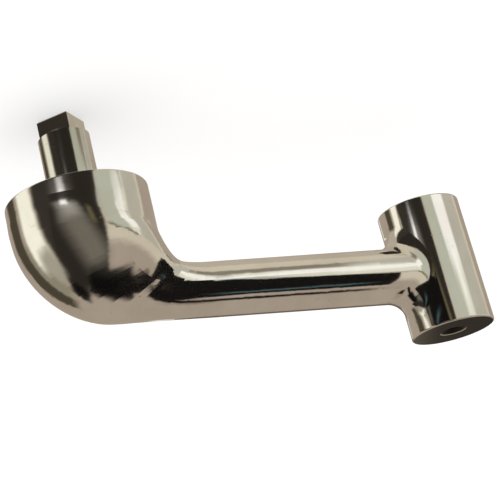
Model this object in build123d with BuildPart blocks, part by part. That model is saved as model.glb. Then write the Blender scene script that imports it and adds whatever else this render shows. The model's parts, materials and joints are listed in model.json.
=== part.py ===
"""Ratcheting winch handle with an 8 inch crank and an 11/16 inch drive square, in millimetres.

Frame: the drive axis is Z with the square end pointing down, the crank arm runs along +X, and the
origin is the centre of the hub's open rim, the face that sits over the winch. The hub is a bowl that
bends into the arm. It holds a toothed wheel keyed to the drive spindle and two sprung pawls, closed
from below by a plate. The boss at the arm's far end is tapped for the grip's bolt.
"""
import os
from math import cos, pi, radians, sin

from build123d import *

os.makedirs("parts", exist_ok=True)

# Driving dimensions of the outside
CRANK = 203.2  # drive axis to grip axis, 8 inches
SQUARE = 17.46  # drive square across its flats, 11/16 inch
SQUARE_LENGTH = 9.5
SQUARE_CORNER = 4.5  # degrees from +X to the nearest corner of the square
SHANK_RADIUS = 13.1
SHANK_LENGTH = 34.3  # below the hub's rim
HUB_RADIUS = 36.0
HUB_STRAIGHT = 14.2  # height of the hub's cylindrical stretch
ARM_HEIGHT = 52.1  # centre of the arm where its line crosses the drive axis
ARM_RISE = 0.0092  # the arm climbs a little towards the boss, mm per mm
ARM_RADIUS = 13.7  # at the drive axis
ARM_FLARE = 0.00925  # growth of the arm's radius, mm per mm
BOSS_RADIUS = 23.3
BOSS_BOTTOM = 14.9
BOSS_TOP = 87.9
BOSS_FILLET = 13.0
ROOT_REACH = 3.0  # how far outside the boss the curve where the arm meets it may lie
ROOT_DEPTH = 5.0  # least distance of that curve inside the boss's side and ends
EDGE_RADIUS = 0.9

# The bend from the hub into the arm
BEND_TOP_X = 8.5  # where the outside of the bend becomes the top of the arm
BEND_INSIDE_RADIUS = 11.6
BEND_END_X = 58.2  # where the bend has become the round arm, a plain cone up to the boss
EGG = 0.25  # how much narrower a bend section is at its outside
WIDTH_POWER = 1.39  # how fast the hub's width falls to the arm's width
BEND_SHARE = 2 / 3  # share of the narrowing that the bend does, before the blend along the arm
HUB_STEPS = 2
BEND_STEPS = 10
BLEND_STEPS = 5
ARM_SETTLED_X = 70.0
QUARTER_ARC = 0.5523  # handle of a cubic quarter circle, as a share of its radius

# Inside of the hub, heights above the rim
SPIGOT_RADIUS = 33.0  # recess that takes the cover
LEDGE = 4.0
CHAMBER_RADIUS = 27.0
CHAMBER_TOP = 23.0
COVER_SCREWS = 6
SCREW_CIRCLE = 30.0
SCREW_RADIUS = 1.48
SCREW_LENGTH = 10.0

# Spindle, wheel and bearings
WHEEL_BOTTOM = 10.2
WHEEL_TOP = 20.2
WHEEL_SEAT_RADIUS = 11.5
LOWER_JOURNAL_RADIUS = 12.5  # runs in the cover's bush, above the thicker shank
JOURNAL_RADIUS = 9.0
JOURNAL_TOP = 38.0
BUSH_POCKET_TOP = 41.0  # leaves room above the journal
TOOTH_COUNT = 24
TOOTH_TIP = 19.5
TOOTH_ROOT = 17.0
BUSH_WALL = 2.9
KEY_WIDTH = 4.0
RUNNING_CLEARANCE = 0.05
ASSEMBLY_CLEARANCE = 0.02

KEY_HEIGHT = 4.0
KEY_COUNT = 2
TOOTH_PITCH = 360 / TOOTH_COUNT
CIRCLIP_BOTTOM = 20.3
CIRCLIP_THICKNESS = 1.24
CIRCLIP_RADIUS = 11.2
CIRCLIP_LUG = 1.6
CIRCLIP_GAP = 2.4
GROOVE_RADIUS = 8.4
WASHER_BOTTOM = 21.8
WASHER_RADIUS = 15.0
WASHER_PLAY = 0.3
END_PLAY = 0.1
LOWER_WASHER_RADIUS = 17.8
SHANK_CHAMFER = 0.5
SQUARE_CHAMFER = 0.7

# Cover, heights above the rim
COVER_BOTTOM = 0.3
COVER_TOP = 3.6
COVER_BOSS_TOP = 7.6
COVER_GAP = 0.15
COVER_CHAMFER = 0.4
SLEEVE_RADIUS = 15.4
SEAL_RADIUS = 16.6
SEAL_TOP = 3.0
SEAL_LIP = 0.1
BUSH_TOP = 8.8
SCREW_PLAY = 0.15
SCREW_HEAD_RADIUS = 2.75
SOCKET_RADIUS = 1.15
SOCKET_DEPTH = 1.2

# Pawls
PAWL_TURNS = {"a": 90.0, "b": 270.0}
PAWL_PIVOT = 23.2
PAWL_BOSS = 3.3
PAWL_PIN = 1.98
PAWL_BOTTOM = 10.5
PAWL_TOP = 19.4
NOSE_LIFT = 0.5  # tip of the nose above the tooth root
NOSE_TURN = 1.0  # degrees from the tooth's steep flank to the nose
NOSE_CLEARANCE = 0.6  # underside of the pawl above the tooth tips
NOSE_HEIGHT = 2.0  # back of the nose above the tooth tips
NOSE_SLANT = 0.6  # degrees the nose's face leans back
BACK_HEIGHT = 1.2  # back of the pawl outside the pivot circle
BACK_TURN = 1.5
HEEL_INNER = 3.1  # heel's corners, inside and outside the pivot
HEEL_OUTER = 2.6
HEEL_BACK = -1.0
PIN_TOP = 29.0
PIN_BOTTOM = 2.2
SPRING_WIRE = 0.4
SPRING_RADIUS = 2.75
SPRING_BOTTOM = 19.9
SPRING_PITCH = 0.9
SPRING_TURNS = 3
PIN_CHAMFER = 0.3

# Grip hole: tapped M12, with its mouth countersunk
GRIP_HOLE_RADIUS = 5.1
GRIP_HOLE_DEPTH = 50.0
GRIP_MOUTH_RADIUS = 7.5
GRIP_MOUTH_DEPTH = 2.4

UP = (Align.CENTER, Align.CENTER, Align.MIN)
DOWN = (Align.CENTER, Align.CENTER, Align.MAX)


def polar(radius, angle):
    """Point at a radius and an angle in degrees."""
    return (radius * cos(radians(angle)), radius * sin(radians(angle)))


def turned_plane(turn, height):
    """Horizontal plane at a height, turned about the drive axis."""
    x_dir = (*polar(1, turn), 0)
    return Plane(origin=(0, 0, height), x_dir=x_dir, z_dir=(0, 0, 1))


def arm_radius(x):
    """Radius of the round arm."""
    return ARM_RADIUS + ARM_FLARE * x


def arm_top(x):
    """Height of the arm's upper side."""
    return ARM_HEIGHT + ARM_RISE * x + arm_radius(x)


def arm_bottom(x):
    """Height of the arm's lower side."""
    return ARM_HEIGHT + ARM_RISE * x - arm_radius(x)


def arm_station(x):
    """Round station of the arm, in the form that skin_stations uses."""
    return ((x, arm_top(x)), (x, arm_bottom(x)), arm_radius(x), 0)


def bend_width(share):
    """Half width of a station, from the hub's radius at share 0 to the arm's at share 1."""
    end = arm_radius(BEND_END_X)
    fade = (1 + cos(pi * share)) / 2
    return end + (HUB_RADIUS - end) * fade**WIDTH_POWER


def skin_stations():
    """Stations of hub, bend and arm: outside point, inside point, half width and egg share."""
    inside_end = HUB_RADIUS + BEND_INSIDE_RADIUS
    inside_foot = arm_bottom(inside_end) - BEND_INSIDE_RADIUS
    stations = []
    for step in range(HUB_STEPS):
        part = step / HUB_STEPS
        outside = (-HUB_RADIUS, HUB_STRAIGHT * part)
        stations.append((outside, (HUB_RADIUS, inside_foot * part), HUB_RADIUS, 0))
    for step in range(BEND_STEPS):
        angle = pi / 2 * step / BEND_STEPS
        share = BEND_SHARE * step / BEND_STEPS
        outside = (
            BEND_TOP_X - (HUB_RADIUS + BEND_TOP_X) * cos(angle),
            HUB_STRAIGHT + (arm_top(BEND_TOP_X) - HUB_STRAIGHT) * sin(angle),
        )
        inside = (
            inside_end - BEND_INSIDE_RADIUS * cos(angle),
            inside_foot + BEND_INSIDE_RADIUS * sin(angle),
        )
        stations.append((outside, inside, bend_width(share), EGG * sin(pi * share)))
    for step in range(BLEND_STEPS):
        share = BEND_SHARE + (1 - BEND_SHARE) * step / BLEND_STEPS
        top_x = BEND_TOP_X + (BEND_END_X - BEND_TOP_X) * step / BLEND_STEPS
        low_x = inside_end + (BEND_END_X - inside_end) * step / BLEND_STEPS
        outside = (top_x, arm_top(top_x))
        inside = (low_x, arm_bottom(low_x))
        stations.append((outside, inside, bend_width(share), EGG * sin(pi * share)))
    return stations + [arm_station(x) for x in (BEND_END_X, ARM_SETTLED_X, CRANK)]


def station_outline(outside, inside, half_width, egg):
    """Closed egg outline of a station as the control points of four cubic arcs."""
    centre = Vector((outside[0] + inside[0]) / 2, 0, (outside[1] + inside[1]) / 2)
    up = Vector((outside[0] - inside[0]) / 2, 0, (outside[1] - inside[1]) / 2)
    across = Vector(0, half_width, 0)
    knots = [up, across, -up, -across]
    slopes = [across * (1 - egg), across * egg - up, -across * (1 + egg), across * egg + up]
    outline = []
    for quarter in range(4):
        after = (quarter + 1) % 4
        outline.append(centre + knots[quarter])
        outline.append(centre + knots[quarter] + slopes[quarter] * QUARTER_ARC)
        outline.append(centre + knots[after] - slopes[after] * QUARTER_ARC)
    return outline + outline[:1]


def skin_solid():
    """Hub, bend and arm as one closed solid of smoothly joined cubic patches."""
    stations = skin_stations()
    rows = [station_outline(*station) for station in stations]
    centres = [Vector(o[0] + i[0], 0, o[1] + i[1]) / 2 for o, i, _, _ in stations]
    gaps = [(after - before).length for before, after in zip(centres, centres[1:])]
    chords = [
        [(q - p) / gap for p, q in zip(low, high)] for low, high, gap in zip(rows, rows[1:], gaps)
    ]
    slopes = [chords[0]]
    for before, after, gap, next_gap in zip(chords, chords[1:], gaps, gaps[1:]):
        share = gap / (gap + next_gap)
        slopes.append([p * (1 - share) + q * share for p, q in zip(before, after)])
    slopes.append(chords[-1])
    faces = []
    for k, gap in enumerate(gaps):
        net = [
            rows[k],
            [p + slope * gap / 3 for p, slope in zip(rows[k], slopes[k])],
            [p - slope * gap / 3 for p, slope in zip(rows[k + 1], slopes[k + 1])],
            rows[k + 1],
        ]
        for first in range(0, 12, 3):
            faces.append(Face.make_bezier_surface([line[first : first + 4] for line in net]))
    for row in (rows[0], rows[-1]):
        arcs = [Edge.make_bezier(*row[first : first + 4]) for first in range(0, 12, 3)]
        faces.append(Face(Wire(arcs)))
    return Solid(Shell(faces))


# Arm casting: bowl, bend and arm as one smooth skin, with the boss, the chamber and the tapped holes
with BuildPart() as arm_casting:
    add(skin_solid())
    rim = arm_casting.edges().group_by(Axis.Z)[0]
    fillet(rim, EDGE_RADIUS)
    with BuildSketch(Plane.XY.offset(BOSS_BOTTOM)):
        with Locations((CRANK, 0)):
            Circle(BOSS_RADIUS)
    extrude(amount=BOSS_TOP - BOSS_BOTTOM)
    roots = [
        edge
        for edge in arm_casting.edges(Select.LAST)
        if CRANK - BOSS_RADIUS - ROOT_REACH < edge.center().X < CRANK - ROOT_DEPTH
        and BOSS_BOTTOM + ROOT_DEPTH < edge.center().Z < BOSS_TOP - ROOT_DEPTH
    ]
    fillet(roots, BOSS_FILLET)
    ends = arm_casting.edges().filter_by(GeomType.CIRCLE).filter_by(lambda e: e.radius == BOSS_RADIUS)
    fillet(ends, EDGE_RADIUS)
    Cylinder(SPIGOT_RADIUS, LEDGE, align=UP, mode=Mode.SUBTRACT)
    Cylinder(CHAMBER_RADIUS, CHAMBER_TOP, align=UP, mode=Mode.SUBTRACT)
    Cylinder(JOURNAL_RADIUS + RUNNING_CLEARANCE + BUSH_WALL, BUSH_POCKET_TOP, align=UP, mode=Mode.SUBTRACT)
    with BuildSketch(Plane.XY.offset(LEDGE)):
        with PolarLocations(SCREW_CIRCLE, COVER_SCREWS):
            Circle(SCREW_RADIUS + ASSEMBLY_CLEARANCE)
    extrude(amount=SCREW_LENGTH, mode=Mode.SUBTRACT)
    with BuildSketch(Plane.XY):
        for turn in PAWL_TURNS.values():
            with Locations(polar(PAWL_PIVOT, turn)):
                Circle(PAWL_PIN + ASSEMBLY_CLEARANCE)
    extrude(amount=PIN_TOP, mode=Mode.SUBTRACT)
    with Locations((CRANK, 0, BOSS_TOP)):
        Cylinder(GRIP_HOLE_RADIUS, GRIP_HOLE_DEPTH, align=DOWN, mode=Mode.SUBTRACT)
        Cone(
            bottom_radius=GRIP_HOLE_RADIUS,
            top_radius=GRIP_MOUTH_RADIUS,
            height=GRIP_MOUTH_DEPTH,
            align=DOWN,
            mode=Mode.SUBTRACT,
        )
arm_casting.part.label = "arm_casting"
export_step(arm_casting.part, "parts/arm_casting.step")

# Drive spindle: square end, round shank, lower journal, wheel seat and upper journal
with BuildPart() as drive_spindle:
    with BuildSketch(Plane.XY.offset(-SHANK_LENGTH)):
        Circle(SHANK_RADIUS)
    extrude(amount=SHANK_LENGTH)
    chamfer(drive_spindle.edges().group_by(Axis.Z)[0], SHANK_CHAMFER)
    with BuildSketch(Plane.XY):
        Circle(LOWER_JOURNAL_RADIUS)
    extrude(amount=WHEEL_BOTTOM)
    with BuildSketch(Plane.XY.offset(-SHANK_LENGTH - SQUARE_LENGTH)):
        Rectangle(SQUARE, SQUARE, rotation=SQUARE_CORNER + 45)
    extrude(amount=SQUARE_LENGTH)
    chamfer(drive_spindle.edges().group_by(Axis.Z)[0], SQUARE_CHAMFER)
    with BuildSketch(Plane.XY.offset(WHEEL_BOTTOM)):
        Circle(WHEEL_SEAT_RADIUS)
    extrude(amount=WHEEL_TOP - WHEEL_BOTTOM)
    with BuildSketch(Plane.XY.offset(WHEEL_TOP)):
        Circle(JOURNAL_RADIUS)
    extrude(amount=JOURNAL_TOP - WHEEL_TOP)
    chamfer(drive_spindle.edges().group_by(Axis.Z)[-1], SHANK_CHAMFER)
    with BuildSketch(Plane.XY.offset(CIRCLIP_BOTTOM)):
        Circle(JOURNAL_RADIUS)
        Circle(GROOVE_RADIUS, mode=Mode.SUBTRACT)
    extrude(amount=CIRCLIP_THICKNESS, mode=Mode.SUBTRACT)
    with BuildSketch(Plane.XY.offset(WHEEL_BOTTOM)):
        with PolarLocations(WHEEL_SEAT_RADIUS, KEY_COUNT):
            Rectangle(KEY_HEIGHT, KEY_WIDTH + 2 * ASSEMBLY_CLEARANCE)
    extrude(amount=WHEEL_TOP - WHEEL_BOTTOM, mode=Mode.SUBTRACT)
drive_spindle.part.label = "drive_spindle"
export_step(drive_spindle.part, "parts/drive_spindle.step")

# Ratchet wheel: saw teeth whose steep flanks face the pawls
teeth = []
for tooth in range(TOOTH_COUNT):
    teeth.append(polar(TOOTH_ROOT, (tooth - 1) * TOOTH_PITCH))
    teeth.append(polar(TOOTH_TIP, tooth * TOOTH_PITCH))
with BuildPart() as ratchet_wheel:
    with BuildSketch(Plane.XY.offset(WHEEL_BOTTOM)):
        with BuildLine():
            Polyline(*teeth, close=True)
        make_face()
        Circle(WHEEL_SEAT_RADIUS + ASSEMBLY_CLEARANCE, mode=Mode.SUBTRACT)
        with PolarLocations(WHEEL_SEAT_RADIUS, KEY_COUNT):
            Rectangle(KEY_HEIGHT, KEY_WIDTH + 2 * ASSEMBLY_CLEARANCE, mode=Mode.SUBTRACT)
    extrude(amount=WHEEL_TOP - WHEEL_BOTTOM)
ratchet_wheel.part.label = "ratchet_wheel"
export_step(ratchet_wheel.part, "parts/ratchet_wheel.step")

# Parallel keys between the wheel and its seat
with BuildPart() as drive_keys:
    with BuildSketch(Plane.XY.offset(WHEEL_BOTTOM + ASSEMBLY_CLEARANCE)):
        with PolarLocations(WHEEL_SEAT_RADIUS, KEY_COUNT):
            Rectangle(KEY_HEIGHT - 2 * ASSEMBLY_CLEARANCE, KEY_WIDTH)
    extrude(amount=WHEEL_TOP - WHEEL_BOTTOM - 2 * ASSEMBLY_CLEARANCE)
drive_keys.part.label = "drive_keys"
export_step(drive_keys.part, "parts/drive_keys.step")

# Circlip over the wheel, open on one side
with BuildPart() as wheel_circlip:
    with BuildSketch(Plane.XY.offset(CIRCLIP_BOTTOM + ASSEMBLY_CLEARANCE)):
        Circle(CIRCLIP_RADIUS)
        with Locations((CIRCLIP_RADIUS - CIRCLIP_LUG / 2, 0)):
            Circle(CIRCLIP_LUG)
        Circle(GROOVE_RADIUS + ASSEMBLY_CLEARANCE, mode=Mode.SUBTRACT)
        with Locations((CIRCLIP_RADIUS, 0)):
            Rectangle(2 * CIRCLIP_RADIUS, CIRCLIP_GAP, mode=Mode.SUBTRACT)
    extrude(amount=CIRCLIP_THICKNESS - 2 * ASSEMBLY_CLEARANCE)
wheel_circlip.part.label = "wheel_circlip"
export_step(wheel_circlip.part, "parts/wheel_circlip.step")


def make_ring(label, inner, outer, bottom, top):
    """Plain ring about the drive axis, written as its own part."""
    with BuildPart() as ring:
        with BuildSketch(Plane.XY.offset(bottom)):
            Circle(outer)
            Circle(inner, mode=Mode.SUBTRACT)
        extrude(amount=top - bottom)
    ring.part.label = label
    export_step(ring.part, f"parts/{label}.step")


journal_bore = JOURNAL_RADIUS + RUNNING_CLEARANCE
lower_bore = LOWER_JOURNAL_RADIUS + RUNNING_CLEARANCE
make_ring("upper_bush", journal_bore, journal_bore + BUSH_WALL - ASSEMBLY_CLEARANCE, CHAMBER_TOP, JOURNAL_TOP)
make_ring("upper_thrust_washer", JOURNAL_RADIUS + WASHER_PLAY, WASHER_RADIUS, WASHER_BOTTOM, CHAMBER_TOP)
make_ring("lower_thrust_washer", lower_bore, LOWER_WASHER_RADIUS, BUSH_TOP, WHEEL_BOTTOM - END_PLAY)
make_ring("spindle_seal", lower_bore, SEAL_RADIUS - ASSEMBLY_CLEARANCE, COVER_BOTTOM + SEAL_LIP, SEAL_TOP)

# Lower bush: flanged sleeve pressed into the cover
with BuildPart() as lower_bush:
    with BuildSketch(Plane.XY.offset(SEAL_TOP)):
        Circle(SLEEVE_RADIUS - ASSEMBLY_CLEARANCE)
        Circle(lower_bore, mode=Mode.SUBTRACT)
    extrude(amount=BUSH_TOP - SEAL_TOP)
    with BuildSketch(Plane.XY.offset(COVER_BOSS_TOP)):
        Circle(LOWER_WASHER_RADIUS)
        Circle(lower_bore, mode=Mode.SUBTRACT)
    extrude(amount=BUSH_TOP - COVER_BOSS_TOP)
lower_bush.part.label = "lower_bush"
export_step(lower_bush.part, "parts/lower_bush.step")

# Hub cover: round plate in the rim's recess, with a raised boss round the spindle
with BuildPart() as hub_cover:
    with BuildSketch(Plane.XY.offset(COVER_BOTTOM)):
        Circle(SPIGOT_RADIUS - COVER_GAP)
    extrude(amount=COVER_TOP - COVER_BOTTOM)
    chamfer(hub_cover.edges().group_by(Axis.Z)[0], COVER_CHAMFER)
    with BuildSketch(Plane.XY.offset(COVER_TOP)):
        Circle(LOWER_WASHER_RADIUS)
    extrude(amount=COVER_BOSS_TOP - COVER_TOP)
    Cylinder(SLEEVE_RADIUS, COVER_BOSS_TOP, align=UP, mode=Mode.SUBTRACT)
    Cylinder(SEAL_RADIUS, SEAL_TOP, align=UP, mode=Mode.SUBTRACT)
    with Locations(Plane.XY.offset(COVER_BOTTOM).rotated((180, 0, 0))):
        with PolarLocations(SCREW_CIRCLE, COVER_SCREWS):
            CounterSinkHole(SCREW_RADIUS + SCREW_PLAY, SCREW_HEAD_RADIUS + SCREW_PLAY, depth=COVER_TOP)
    with BuildSketch(Plane.XY.offset(PIN_BOTTOM)):
        for turn in PAWL_TURNS.values():
            with Locations(polar(PAWL_PIVOT, turn)):
                Circle(PAWL_PIN + ASSEMBLY_CLEARANCE)
    extrude(amount=COVER_TOP - PIN_BOTTOM, mode=Mode.SUBTRACT)
hub_cover.part.label = "hub_cover"
export_step(hub_cover.part, "parts/hub_cover.step")

# Gasket between the cover and the ledge
with BuildPart() as cover_gasket:
    with BuildSketch(Plane.XY.offset(COVER_TOP)):
        Circle(SPIGOT_RADIUS - COVER_GAP)
        Circle(CHAMBER_RADIUS, mode=Mode.SUBTRACT)
        with PolarLocations(SCREW_CIRCLE, COVER_SCREWS):
            Circle(SCREW_RADIUS + SCREW_PLAY, mode=Mode.SUBTRACT)
    extrude(amount=LEDGE - COVER_TOP)
cover_gasket.part.label = "cover_gasket"
export_step(cover_gasket.part, "parts/cover_gasket.step")

# Countersunk cover screws with hexagon sockets
with BuildPart() as cover_screws:
    with BuildSketch(Plane.XY.offset(COVER_BOTTOM)):
        with PolarLocations(SCREW_CIRCLE, COVER_SCREWS):
            Circle(SCREW_RADIUS)
    extrude(amount=SCREW_LENGTH)
    with PolarLocations(SCREW_CIRCLE, COVER_SCREWS):
        with Locations((0, 0, COVER_BOTTOM)):
            Cone(SCREW_HEAD_RADIUS, SCREW_RADIUS, SCREW_HEAD_RADIUS - SCREW_RADIUS, align=UP)
    with BuildSketch(Plane.XY.offset(COVER_BOTTOM)):
        with PolarLocations(SCREW_CIRCLE, COVER_SCREWS):
            RegularPolygon(SOCKET_RADIUS, 6)
    extrude(amount=SOCKET_DEPTH, mode=Mode.SUBTRACT)
cover_screws.part.label = "cover_screws"
export_step(cover_screws.part, "parts/cover_screws.step")


def make_pawl(name, turn):
    """Pawl, pivot pin, spacer and spring of one station, at its angle about the drive axis."""
    with BuildPart() as pawl:
        with BuildSketch(turned_plane(turn, PAWL_BOTTOM)):
            with Locations((PAWL_PIVOT, 0)):
                Circle(PAWL_BOSS)
            with BuildLine():
                Polyline(
                    polar(TOOTH_ROOT + NOSE_LIFT, NOSE_TURN - 2 * TOOTH_PITCH),
                    polar(TOOTH_TIP + NOSE_CLEARANCE, -TOOTH_PITCH),
                    (PAWL_PIVOT - HEEL_INNER, HEEL_BACK),
                    (PAWL_PIVOT + HEEL_OUTER, HEEL_BACK),
                    polar(PAWL_PIVOT + BACK_HEIGHT, BACK_TURN - TOOTH_PITCH),
                    polar(TOOTH_TIP + NOSE_HEIGHT, NOSE_SLANT - 2 * TOOTH_PITCH),
                    close=True,
                )
            make_face()
            with Locations((PAWL_PIVOT, 0)):
                Circle(PAWL_PIN + RUNNING_CLEARANCE, mode=Mode.SUBTRACT)
        extrude(amount=PAWL_TOP - PAWL_BOTTOM)
    pawl.part.label = f"pawl_{name}"
    export_step(pawl.part, f"parts/pawl_{name}.step")

    with BuildPart() as pin:
        with BuildSketch(turned_plane(turn, PIN_BOTTOM)):
            with Locations((PAWL_PIVOT, 0)):
                Circle(PAWL_PIN)
        extrude(amount=PIN_TOP - PIN_BOTTOM)
        chamfer(pin.edges().group_by(Axis.Z)[-1], PIN_CHAMFER)
    pin.part.label = f"pawl_pin_{name}"
    export_step(pin.part, f"parts/pawl_pin_{name}.step")

    with BuildPart() as spacer:
        with BuildSketch(turned_plane(turn, LEDGE)):
            with Locations((PAWL_PIVOT, 0)):
                Circle(PAWL_BOSS)
                Circle(PAWL_PIN + ASSEMBLY_CLEARANCE, mode=Mode.SUBTRACT)
        extrude(amount=PAWL_BOTTOM - END_PLAY - LEDGE)
    spacer.part.label = f"pawl_spacer_{name}"
    export_step(spacer.part, f"parts/pawl_spacer_{name}.step")

    with BuildPart() as spring:
        coil_base = turned_plane(turn, SPRING_BOTTOM)
        with BuildLine(Plane(coil_base.from_local_coords((PAWL_PIVOT, 0, 0)), coil_base.x_dir)) as coil:
            Helix(pitch=SPRING_PITCH, height=SPRING_PITCH * SPRING_TURNS, radius=SPRING_RADIUS)
        with BuildSketch(Plane(origin=coil.line @ 0, z_dir=coil.line % 0)):
            Circle(SPRING_WIRE)
        sweep(path=coil.line, is_frenet=True)
    spring.part.label = f"pawl_spring_{name}"
    export_step(spring.part, f"parts/pawl_spring_{name}.step")


for station, station_turn in PAWL_TURNS.items():
    make_pawl(station, station_turn)
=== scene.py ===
"""Looks of the ratcheting winch handle: polished metal outside, machined steel and bronze inside.

The handle stands on the tip of its drive square, on a pale floor. Diffuse light is even and white.
What the polished metal mirrors is a light tent of pale, dark and bright panels and a black card
beside the arm, which only reflections see.
"""
import json
from math import cos, pi, radians, sin

import bpy
from mathutils import Matrix, Vector


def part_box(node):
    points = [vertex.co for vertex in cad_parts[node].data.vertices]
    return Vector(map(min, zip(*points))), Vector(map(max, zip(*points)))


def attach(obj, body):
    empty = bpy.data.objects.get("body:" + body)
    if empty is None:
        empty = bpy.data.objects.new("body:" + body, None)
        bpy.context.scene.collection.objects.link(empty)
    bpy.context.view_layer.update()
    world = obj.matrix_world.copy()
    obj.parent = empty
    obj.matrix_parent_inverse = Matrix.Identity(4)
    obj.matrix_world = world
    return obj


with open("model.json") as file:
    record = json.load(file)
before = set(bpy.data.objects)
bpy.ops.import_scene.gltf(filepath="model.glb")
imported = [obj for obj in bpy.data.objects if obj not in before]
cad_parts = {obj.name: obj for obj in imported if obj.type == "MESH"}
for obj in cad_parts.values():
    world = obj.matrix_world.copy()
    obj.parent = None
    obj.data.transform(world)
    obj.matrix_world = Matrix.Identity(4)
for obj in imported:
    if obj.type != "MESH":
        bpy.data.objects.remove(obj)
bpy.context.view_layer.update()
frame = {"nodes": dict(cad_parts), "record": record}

MM = 0.001
NODES = frame["nodes"]
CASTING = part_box("arm_casting")
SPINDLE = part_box("drive_spindle")
MOUNTS = {mount["name"]: mount for mount in frame["record"]["mounts"]}
GRIP_HOLE = Vector(MOUNTS["grip_hole"]["pos_m"])

# Camera: where it looks, from which side, and how the picture is framed
AIM = Vector((95, 0, 20)) * MM
AZIMUTH = 210.7
ELEVATION = 18.325
ROLL = 165.697
DISTANCE = 712.3 * MM
SENSOR = 36.0
FOCAL_LENGTH = 97.39

# How far the camera stands to the left and down, as shares of the width it sees at the aim
LEFT_SHARE = 0.0056
DOWN_SHARE = 0.0451

FLOOR_SIZE = 6.0

# Light tent: a sphere round the middle of the handle. An upright panel leans by this many degrees
# round the tent for each degree above the level height. The angle about X is cut where it restarts.
TENT_CENTRE = Vector((100, 0, 30)) * MM
TENT_RADIUS = 460 * MM
TENT_BASE = (0.392, 0.332, 0.266)
LEAN = 0.33
LEAN_LEVEL = -20.0
ROLL_CUT = -165.0

# Black card beside the arm: its distance from the middle plane, its outline in X and Z, in
# millimetres, and where it has a faint blue streak, in height and along the arm
FLAG_OFFSET = 30
FLAG_OUTLINE = (
    (8, 68), (30, 74), (44, 71), (46, 54), (60, 49), (179, 58), (179, 84),
    (90, 81), (62, 84), (54, 96), (40, 100), (8, 92),
)
STREAK_HEIGHT = (72 * MM, 75.5 * MM)
STREAK_LENGTH = (70 * MM, 160 * MM)

# Radii between which the grip hole's painted shade, a nearly black colour, and its rougher,
# unpolished surface fade into the polish
BORE_EDGE = (6.9 * MM, 7.5 * MM)


def srgb(red, green, blue):
    """Linear colour of a display colour given in 0 to 255."""
    shares = [value / 255 for value in (red, green, blue)]
    return tuple(((v + 0.055) / 1.055) ** 2.4 if v > 0.04045 else v / 12.92 for v in shares)


class Graph:
    """Short way to write a node tree: each call adds a node and returns its output."""

    def __init__(self, tree):
        tree.nodes.clear()
        self.tree = tree

    def node(self, kind, inputs=(), output=0, **settings):
        """Add a node with its settings and inputs, given by name or number, and return one output."""
        made = self.tree.nodes.new(kind)
        for name, value in settings.items():
            setattr(made, name, value)
        for key, value in dict(inputs).items():
            if isinstance(value, bpy.types.NodeSocket):
                self.tree.links.new(value, made.inputs[key])
            else:
                made.inputs[key].default_value = value
        return made.outputs[output] if len(made.outputs) else None

    def math(self, operation, first, second=0.0, third=0.0):
        return self.node("ShaderNodeMath", {0: first, 1: second, 2: third}, operation=operation)

    def smooth(self, value, start, end, low=0.0, high=1.0):
        """Value mapped from start..end to low..high with soft ends."""
        inputs = {"Value": value, "From Min": start, "From Max": end, "To Min": low, "To Max": high}
        return self.node("ShaderNodeMapRange", inputs, interpolation_type="SMOOTHSTEP")

    def band(self, value, low, high, soft):
        """One between low and high, nought outside, with edges this soft."""
        rise = self.smooth(value, low - soft / 2, low + soft / 2)
        fall = self.smooth(value, high - soft / 2, high + soft / 2, 1.0, 0.0)
        return self.math("MULTIPLY", rise, fall)

    def mix(self, share, first, second):
        """Colour mix of two colours by a share."""
        inputs = {0: share, 6: first, 7: second}
        return self.node("ShaderNodeMix", inputs, 2, data_type="RGBA")

    def noise(self, where, scale, detail, rough=0.5):
        inputs = {"Vector": where, "Scale": scale, "Detail": detail, "Roughness": rough}
        return self.node("ShaderNodeTexNoise", inputs)

    def stretched(self, where, scale):
        """Texture position stretched by a scale along each axis."""
        return self.node("ShaderNodeMapping", {"Vector": where, "Scale": scale})


def rgba(colour):
    return (*colour, 1.0)


# ---------------------------------------------------------------- materials


def new_material(name):
    """Empty material and its graph."""
    material = bpy.data.materials.new(name)
    material.use_nodes = True
    return material, Graph(material.node_tree)


def finish_material(graph, colour, roughness, height, strength, distance, metallic=1.0):
    """Close a material with a Principled shader and a bump from its height."""
    bump = {"Height": height, "Strength": strength, "Distance": distance}
    normal = graph.node("ShaderNodeBump", bump)
    inputs = {"Base Color": colour, "Metallic": metallic, "Roughness": roughness, "Normal": normal}
    shader = graph.node("ShaderNodeBsdfPrincipled", inputs)
    graph.node("ShaderNodeOutputMaterial", {"Surface": shader})


def inside_bore(g, where):
    """One in the mouth and upper part of the grip hole, and nought elsewhere."""
    centre = {0: where, 1: (GRIP_HOLE.x, GRIP_HOLE.y, 0.0)}
    local = g.node("ShaderNodeVectorMath", centre, operation="SUBTRACT")
    flat = g.node("ShaderNodeVectorMath", {0: local, 1: (1.0, 1.0, 0.0)}, operation="MULTIPLY")
    radius = g.node("ShaderNodeVectorMath", {0: flat}, 1, operation="LENGTH")
    height = g.node("ShaderNodeSeparateXYZ", {0: where}, 2)
    near = g.smooth(radius, *BORE_EDGE, 1.0, 0.0)
    return g.math("MULTIPLY", near, g.smooth(height, GRIP_HOLE.z, GRIP_HOLE.z + MM))


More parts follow.
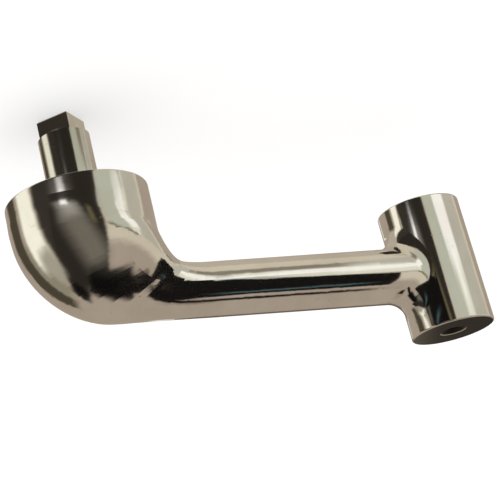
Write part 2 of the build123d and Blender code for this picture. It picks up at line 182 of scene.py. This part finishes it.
def polished_metal(name, bright, dull, haze, pit_scale, roughness):
    """Mirror polished metal: buffing haze, hairlines, slow waviness and a few pits. The grip hole
    gets painted shade, a nearly black colour, and is rougher where it is unpolished.
    """
    material, g = new_material(name)
    where = g.node("ShaderNodeTexCoord", output=3)
    cloud = g.noise(where, 38.0, 4.0, 0.6)
    tone = g.smooth(cloud, 0.35, 0.7)
    hairs = g.noise(g.stretched(where, (90.0, 1400.0, 1400.0)), 1.0, 2.0, 0.5)
    hair = g.smooth(hairs, 0.62, 0.76)
    cells = g.node("ShaderNodeTexVoronoi", {"Vector": where, "Scale": pit_scale}, output=0)
    sparse = g.smooth(g.noise(where, 55.0, 1.0), 0.56, 0.66)
    pit = g.math("MULTIPLY", g.smooth(cells, 0.05, 0.11, 1.0, 0.0), sparse)
    metal = g.mix(tone, rgba(bright), rgba(dull))
    colour = g.mix(g.math("MULTIPLY", pit, 0.55), metal, rgba((0.16, 0.13, 0.10)))
    # Painted shade in the grip hole: its mouth and upper part are coloured nearly black, and they are
    # also rougher, being unpolished
    shaded_unpolished_bore = inside_bore(g, where)
    colour = g.mix(shaded_unpolished_bore, colour, rgba((0.035, 0.03, 0.025)))
    rough = g.math("MULTIPLY_ADD", tone, haze, roughness)
    rough = g.math("MULTIPLY_ADD", shaded_unpolished_bore, 0.25, rough)
    rough = g.math("MULTIPLY_ADD", hair, 0.05, rough)
    rough = g.math("MULTIPLY_ADD", pit, 0.25, rough)
    wave = g.noise(where, 26.0, 2.0, 0.45)
    ripple = g.noise(where, 120.0, 2.0, 0.5)
    height = g.math("MULTIPLY_ADD", ripple, 0.10, wave)
    height = g.math("MULTIPLY_ADD", pit, -0.12, height)
    finish_material(g, colour, rough, height, 0.35, 0.0006)
    return material


def turned_metal(name, bright, dark, roughness, pitch):
    """Machined steel or bronze: tool rings round the drive axis, with light stains."""
    material, g = new_material(name)
    where = g.node("ShaderNodeTexCoord", output=3)
    flat = g.node("ShaderNodeVectorMath", {0: where, 1: (1.0, 1.0, 0.0)}, operation="MULTIPLY")
    radius = g.node("ShaderNodeVectorMath", {0: flat}, 1, operation="LENGTH")
    height = g.node("ShaderNodeSeparateXYZ", {0: where}, 2)
    path = g.math("ADD", radius, height)
    rings = g.math("SINE", g.math("MULTIPLY", path, 2 * pi / pitch))
    uneven = g.noise(where, 900.0, 3.0, 0.6)
    tool = g.math("MULTIPLY", rings, uneven)
    stain = g.smooth(g.noise(where, 70.0, 4.0, 0.6), 0.4, 0.68)
    colour = g.mix(stain, rgba(bright), rgba(dark))
    rough = g.math("MULTIPLY_ADD", stain, 0.14, roughness)
    rough = g.math("MULTIPLY_ADD", uneven, 0.10, rough)
    finish_material(g, colour, rough, tool, 0.25, 0.00004)
    return material


def ground_metal(name, bright, dark, roughness, direction):
    """Flat ground steel: fine lines along one direction, with heat and oil stains."""
    material, g = new_material(name)
    where = g.node("ShaderNodeTexCoord", output=3)
    lines = g.noise(g.stretched(where, direction), 1.0, 3.0, 0.6)
    stain = g.smooth(g.noise(where, 110.0, 4.0, 0.65), 0.38, 0.7)
    colour = g.mix(stain, rgba(bright), rgba(dark))
    rough = g.math("MULTIPLY_ADD", lines, 0.16, roughness)
    finish_material(g, colour, rough, lines, 0.3, 0.00005)
    return material


def soft_matter(name, light, dark, roughness, scale, bump):
    """Rubber or fibre: mottled, matt and slightly grained."""
    material, g = new_material(name)
    where = g.node("ShaderNodeTexCoord", output=3)
    grain = g.noise(where, scale, 5.0, 0.7)
    colour = g.mix(g.smooth(grain, 0.35, 0.65), rgba(light), rgba(dark))
    rough = g.math("MULTIPLY_ADD", grain, 0.2, roughness)
    finish_material(g, colour, rough, grain, 0.5, bump, metallic=0.0)
    return material


def make_materials():
    """One finished material for each material slot of the record."""
    steel_lines = (300.0, 9000.0, 9000.0)
    return {
        "polished_casting": polished_metal(
            "polished_casting_look", (0.93, 0.91, 0.88), (0.86, 0.83, 0.79), 0.03, 260.0, 0.085
        ),
        "polished_spindle": polished_metal(
            "polished_spindle_look", (0.86, 0.85, 0.81), (0.76, 0.74, 0.69), 0.05, 420.0, 0.09
        ),
        "hardened_steel": turned_metal(
            "hardened_steel_look", (0.32, 0.33, 0.35), (0.20, 0.19, 0.18), 0.28, 0.0005
        ),
        "key_steel": ground_metal(
            "key_steel_look", (0.5, 0.5, 0.5), (0.34, 0.33, 0.3), 0.2, steel_lines
        ),
        "spring_steel": ground_metal(
            "spring_steel_look", (0.16, 0.17, 0.20), (0.08, 0.08, 0.09), 0.3, steel_lines
        ),
        "pawl_steel": ground_metal(
            "pawl_steel_look", (0.4, 0.4, 0.42), (0.24, 0.23, 0.22), 0.24, steel_lines
        ),
        "spring_wire": ground_metal(
            "spring_wire_look", (0.62, 0.6, 0.56), (0.4, 0.38, 0.34), 0.2, steel_lines
        ),
        "pin_steel": turned_metal("pin_steel_look", (0.6, 0.6, 0.6), (0.44, 0.42, 0.4), 0.16, 0.0003),
        "bearing_bronze": turned_metal(
            "bearing_bronze_look", (0.72, 0.47, 0.22), (0.42, 0.25, 0.11), 0.3, 0.0006
        ),
        "cover_plate": turned_metal(
            "cover_plate_look", (0.7, 0.69, 0.66), (0.52, 0.5, 0.46), 0.2, 0.0008
        ),
        "gasket_fibre": soft_matter(
            "gasket_fibre_look", (0.11, 0.10, 0.09), (0.06, 0.055, 0.05), 0.7, 900.0, 0.0001
        ),
        "seal_rubber": soft_matter(
            "seal_rubber_look", (0.035, 0.035, 0.037), (0.018, 0.018, 0.018), 0.5, 500.0, 0.00006
        ),
        "screw_steel": turned_metal(
            "screw_steel_look", (0.66, 0.66, 0.66), (0.5, 0.49, 0.47), 0.18, 0.0004
        ),
    }


def dress_nodes(materials):
    """Give each CAD node the finished material of its slot."""
    for part in frame["record"]["subparts"]:
        for place in NODES[part["node"]].material_slots:
            place.material = materials[part["material_slot"]]


# ---------------------------------------------------------------- grip thread

THREAD_PITCH = 1.75 * MM
THREAD_DEPTH = 0.32 * MM
THREAD_STEPS = 48
THREAD_TURNS = 9
THREAD_START = 3.2 * MM  # below the boss's end
THREAD_ROOT = 0.45  # half the ridge's width at the wall and at its crest, as shares of the pitch
THREAD_CREST = 0.06


def make_grip_thread(material):
    """Helical ridge of the tapped grip hole, standing in from the hole's wall."""
    wall = MOUNTS["grip_hole"]["dims"]["r_mm"] * MM
    mouth = CASTING[1].z - THREAD_START
    verts = []
    faces = []
    steps = THREAD_STEPS * THREAD_TURNS
    for step in range(steps + 1):
        angle = 2 * pi * step / THREAD_STEPS
        fade = min(1.0, step / THREAD_STEPS, (steps - step) / THREAD_STEPS)
        height = mouth - THREAD_PITCH * step / THREAD_STEPS
        crest = wall - THREAD_DEPTH * fade
        rise = ((wall, THREAD_ROOT), (crest, THREAD_CREST))
        fall = ((crest, -THREAD_CREST), (wall, -THREAD_ROOT))
        for radius, offset in rise + fall:
            z = height + offset * THREAD_PITCH
            verts.append((GRIP_HOLE.x + radius * cos(angle), GRIP_HOLE.y + radius * sin(angle), z))
    for step in range(steps):
        first = step * 4
        for side in range(3):
            faces.append((first + side, first + side + 1, first + side + 5, first + side + 4))
        faces.append((first + 3, first, first + 4, first + 7))
    faces.append((0, 3, 2, 1))
    last = steps * 4
    faces.append((last, last + 1, last + 2, last + 3))
    mesh = bpy.data.meshes.new("grip_thread")
    mesh.from_pydata(verts, [], faces)
    mesh.materials.append(material)
    thread = bpy.data.objects.new("grip_thread", mesh)
    bpy.context.scene.collection.objects.link(thread)
    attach(thread, "casting")


# ---------------------------------------------------------------- floor, tent and light


def hide_from_all_but_reflections(thing):
    thing.visible_camera = False
    thing.visible_diffuse = False
    thing.visible_shadow = False
    thing.visible_transmission = False
    thing.visible_volume_scatter = False


def make_floor():
    """Plain pale floor under the tip of the square, which also glows a little to keep shadows
    faint. Reflections see the tent instead."""
    material, g = new_material("floor_look")
    where = g.node("ShaderNodeTexCoord", output=3)
    tone = g.smooth(g.noise(where, 3.0, 2.0), 0.3, 0.7)
    colour = g.mix(tone, rgba((0.46, 0.46, 0.457)), rgba((0.44, 0.44, 0.437)))
    glow = {"Base Color": colour, "Roughness": 0.9, "Emission Color": rgba((1.0, 1.0, 0.995))}
    shader = g.node("ShaderNodeBsdfPrincipled", {**glow, "Emission Strength": 0.52})
    g.node("ShaderNodeOutputMaterial", {"Surface": shader})
    bpy.ops.mesh.primitive_plane_add(size=FLOOR_SIZE, location=(AIM.x, 0, SPINDLE[0].z))
    floor = bpy.context.object
    floor.name = "floor"
    floor.data.materials.append(material)
    floor.visible_glossy = False


# Panels of the tent, painted one over the other: colour, extent across and along, softness of the
# edges each way. Across is the angle round the tent in degrees from +X, or for a lengthwise panel
# the angle about X; along is the height angle, or the share of the tent's radius along X.
def paint_panels(g, direction):
    """Colour of the tent in each direction from its centre."""
    x = g.node("ShaderNodeSeparateXYZ", {0: direction}, 0)
    y = g.node("ShaderNodeSeparateXYZ", {0: direction}, 1)
    z = g.node("ShaderNodeSeparateXYZ", {0: direction}, 2)
    degrees = 180 / pi
    rise = g.math("MULTIPLY", g.math("ARCSINE", z), degrees)
    turn = g.math("MULTIPLY", g.math("ARCTAN2", y, x), degrees)
    turn = g.math("FLOORED_MODULO", turn, 360.0)
    roll = g.math("MULTIPLY", g.math("ARCTAN2", z, y), degrees)
    roll = g.math("FLOORED_MODULO", g.math("SUBTRACT", roll, ROLL_CUT), 360.0)
    roll = g.math("ADD", roll, ROLL_CUT)
    state = {"colour": rgba(TENT_BASE)}

    def upright(colour, across, along, soft, lean=LEAN):
        tilted = g.math("MULTIPLY_ADD", g.math("SUBTRACT", rise, LEAN_LEVEL), lean, turn)
        share = g.math("MULTIPLY", g.band(tilted, *across, soft[0]), g.band(rise, *along, soft[1]))
        state["colour"] = g.mix(share, state["colour"], rgba(srgb(*colour)))

    def lengthwise(colour, across, along, soft):
        share = g.math("MULTIPLY", g.band(roll, *across, soft[0]), g.band(x, *along, soft[1]))
        state["colour"] = g.mix(share, state["colour"], rgba(srgb(*colour)))

    # Pale ground, with the dark screen opposite the hub
    upright((184, 174, 158), (-60, 420), (-90, -36), (8, 14))
    upright((206, 197, 177), (-20, 106), (-90, 28), (12, 16), -0.1)
    upright((55, 51, 45), (130, 181), (-90, 56), (6, 8), 0.3)
    upright((44, 40, 35), (96, 160), (-90, 54), (5, 8), -0.2)
    # Bright and olive strips on the hub's far side
    upright((74, 69, 55), (214, 238), (-32, 50), (6, 12))
    upright((142, 136, 118), (197, 214), (-4, 46), (8, 12))
    upright((252, 250, 232), (184, 207), (-60, 16), (6, 22))
    upright((168, 162, 146), (184, 200), (8, 34), (8, 12))
    upright((248, 246, 238), (286, 291), (-24, 20), (2, 4), 0)
    # Soft glow and lamp spot in the dark screen
    upright((166, 162, 154), (132, 154), (-19, 0), (20, 8))
    upright((112, 107, 97), (128, 158), (-4, 46), (22, 16))
    upright((255, 255, 252), (139, 147), (-21, -13), (6, 5), 0)
    upright((104, 97, 70), (111, 117), (-12, 6), (6, 8), 0)
    # Window beside the dark screen, and its sill
    upright((186, 182, 168), (8, 95), (-40, 4), (5, 7), 0)
    upright((186, 189, 172), (58, 92), (-40, 3), (8, 7), 0)
    upright((226, 226, 208), (44, 62), (-40, 3), (6, 7), 0)
    upright((255, 255, 244), (50, 57), (-40, -6), (3, 6), 0)
    upright((120, 114, 98), (50, 98), (3, 7), (8, 3), 0)
    # Dark strips along the elbow
    lengthwise((30, 28, 25), (55, 66), (-0.5, 0.24), (5, 0.12))
    lengthwise((14, 13, 13), (60, 76), (-0.5, 0.26), (5, 0.10))
    lengthwise((14, 13, 13), (61, 70), (0.18, 0.58), (4, 0.06))
    lengthwise((16, 15, 14), (74, 88), (-0.72, -0.45), (5, 0.10))
    # Strips along the arm's top and underside, and the dark patch for the boss's end
    lengthwise((136, 127, 114), (-54, -34), (0.34, 0.60), (10, 0.05))
    lengthwise((255, 252, 246), (-28, -12), (0.36, 0.74), (10, 0.06))
    lengthwise((186, 175, 160), (-125, -86), (0.30, 0.80), (8, 0.06))
    lengthwise((104, 94, 84), (152, 184), (0.30, 0.80), (16, 0.06))
    lengthwise((52, 48, 42), (138, 168), (0.66, 0.84), (8, 0.10))
    return state["colour"]


def make_tent():
    """Sphere of light and dark panels that only reflections see."""
    material, g = new_material("tent_look")
    place = g.node("ShaderNodeNewGeometry", output=0)
    shifted = g.node("ShaderNodeVectorMath", {0: place, 1: TENT_CENTRE}, operation="SUBTRACT")
    direction = g.node("ShaderNodeVectorMath", {0: shifted}, operation="NORMALIZE")
    glow = g.node("ShaderNodeEmission", {"Color": paint_panels(g, direction), "Strength": 1.0})
    g.node("ShaderNodeOutputMaterial", {"Surface": glow})
    bpy.ops.mesh.primitive_uv_sphere_add(
        segments=64, ring_count=32, radius=TENT_RADIUS, location=TENT_CENTRE
    )
    tent = bpy.context.object
    tent.name = "light_tent"
    tent.data.materials.append(material)
    hide_from_all_but_reflections(tent)


def make_flag():
    """Black card close beside the arm: it draws the dark band along the arm and elbow."""
    material, g = new_material("flag_look")
    place = g.node("ShaderNodeNewGeometry", output=0)
    height = g.node("ShaderNodeSeparateXYZ", {0: place}, 2)
    across = g.node("ShaderNodeSeparateXYZ", {0: place}, 0)
    streak = g.band(height, *STREAK_HEIGHT, 2 * MM)
    streak = g.math("MULTIPLY", streak, g.band(across, *STREAK_LENGTH, 30 * MM))
    colour = g.mix(streak, rgba(srgb(20, 18, 17)), rgba(srgb(70, 92, 94)))
    glow = g.node("ShaderNodeEmission", {"Color": colour, "Strength": 1.0})
    g.node("ShaderNodeOutputMaterial", {"Surface": glow})
    verts = [Vector((x, FLAG_OFFSET, z)) * MM for x, z in FLAG_OUTLINE]
    mesh = bpy.data.meshes.new("flag")
    mesh.from_pydata(verts, [], [range(len(verts))])
    mesh.materials.append(material)
    flag = bpy.data.objects.new("flag", mesh)
    bpy.context.scene.collection.objects.link(flag)
    hide_from_all_but_reflections(flag)


def make_light():
    """Even white light all round, with one large faint lamp above."""
    world = bpy.data.worlds.new("studio")
    world.use_nodes = True
    g = Graph(world.node_tree)
    sky = g.node("ShaderNodeBackground", {"Color": rgba((1.0, 0.998, 0.994)), "Strength": 1.18})
    g.node("ShaderNodeOutputWorld", {"Surface": sky})
    bpy.context.scene.world = world
    lamp = bpy.data.lights.new("soft_lamp", "AREA")
    lamp.shape = "DISK"
    lamp.size = 1.6
    lamp.energy = 3.0
    lamp.color = (1.0, 0.98, 0.95)
    holder = bpy.data.objects.new("soft_lamp", lamp)
    holder.location = AIM + Vector((-0.5, 0.6, 1.6))
    holder.rotation_euler = (AIM - holder.location).to_track_quat("-Z", "Y").to_euler()
    holder.visible_glossy = False
    bpy.context.scene.collection.objects.link(holder)


def make_camera():
    """Camera at the photograph's angle, turned so that the square end points up in the picture."""
    azimuth = radians(AZIMUTH)
    elevation = radians(ELEVATION)
    roll = radians(ROLL)
    back = Vector((sin(azimuth) * cos(elevation), -cos(azimuth) * cos(elevation), sin(elevation)))
    level = Vector((cos(azimuth), sin(azimuth), 0))
    above = back.cross(level)
    right = cos(roll) * level + sin(roll) * above
    up = cos(roll) * above - sin(roll) * level
    data = bpy.data.cameras.new("camera")
    data.sensor_width = SENSOR
    data.lens = FOCAL_LENGTH
    camera = bpy.data.objects.new("camera", data)
    window = SENSOR / FOCAL_LENGTH * DISTANCE
    spot = AIM + back * DISTANCE - right * (LEFT_SHARE * window) - up * (DOWN_SHARE * window)
    turned = Matrix((right, up, back)).transposed().to_4x4()
    camera.matrix_world = Matrix.Translation(spot) @ turned
    bpy.context.scene.collection.objects.link(camera)
    bpy.context.scene.camera = camera


materials = make_materials()
dress_nodes(materials)
make_grip_thread(materials["polished_casting"])
make_floor()
make_tent()
make_flag()
make_light()
make_camera()
bpy.context.scene.view_settings.view_transform = "Standard"
